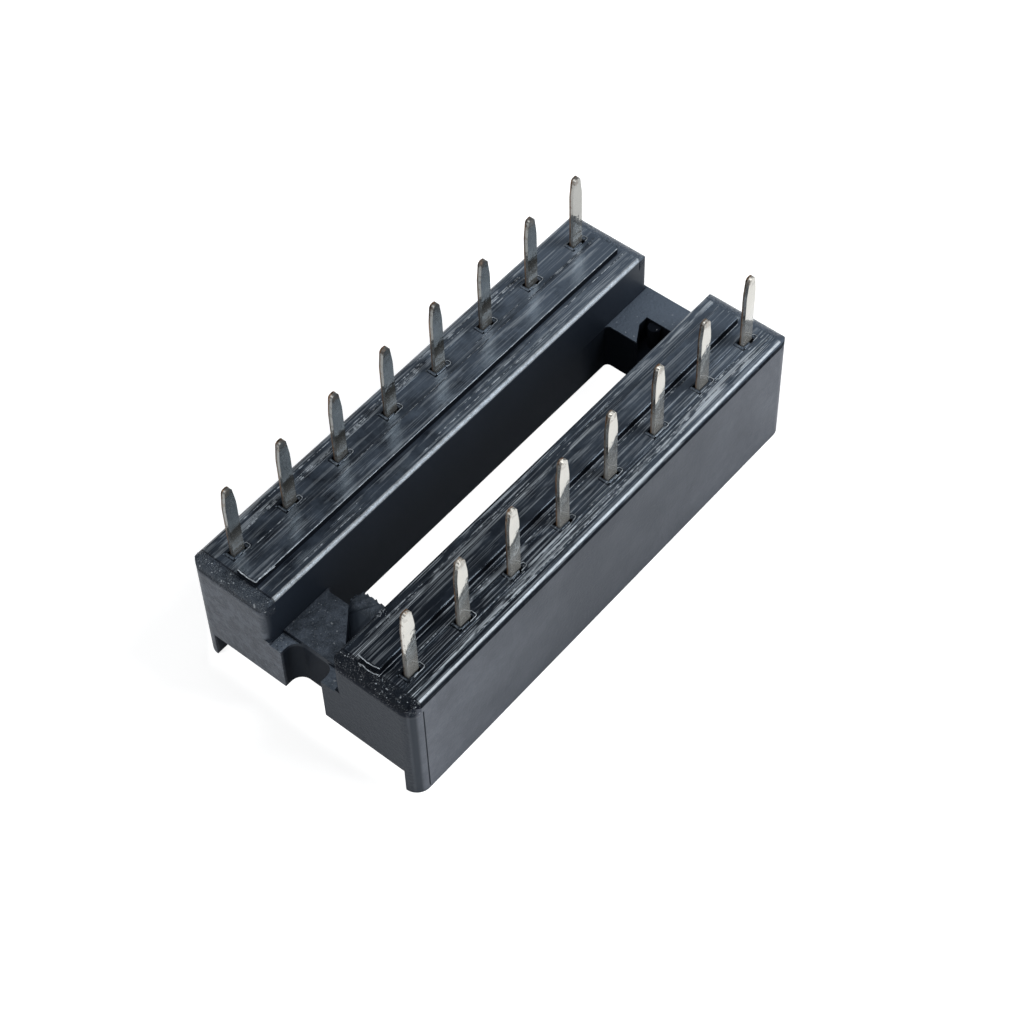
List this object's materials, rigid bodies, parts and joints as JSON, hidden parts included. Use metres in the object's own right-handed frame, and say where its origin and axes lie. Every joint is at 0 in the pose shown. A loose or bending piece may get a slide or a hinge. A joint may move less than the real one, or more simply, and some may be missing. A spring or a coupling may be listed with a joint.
{
  "type": "ic socket",
  "caption": "Open-frame plug-in socket for an integrated circuit: a black ladder-shaped moulding with rows of dual-leaf spring contacts, flat solder tails and a polarity notch.",
  "frame": {"origin": "centre of the bounding box at its bottom, level with the lower edges of the side walls", "axes": "+X along the contact rows, away from the polarity notch; +Z out of the board side, along the solder tails; contact_01 is beside the notch on the +Y row"},
  "size_m": [0.0204, 0.0098, 0.0083],
  "materials": {
    "moulding": "black glass-filled thermoplastic: tool-streaked gloss on the rails, spark-eroded grain on the rims and cross bars, fine matt sides",
    "contact_metal": "dull tin plate over phosphor bronze, with bare copper-brown sheared edges"
  },
  "bodies": {
    "root": {"housing": "moulding", "contact_01": "contact_metal", "contact_02": "contact_metal", "contact_03": "contact_metal", "contact_04": "contact_metal", "contact_05": "contact_metal", "contact_06": "contact_metal", "contact_07": "contact_metal", "contact_08": "contact_metal", "contact_09": "contact_metal", "contact_10": "contact_metal", "contact_11": "contact_metal", "contact_12": "contact_metal", "contact_13": "contact_metal", "contact_14": "contact_metal", "contact_15": "contact_metal", "contact_16": "contact_metal"}
  },
  "joints": []
}
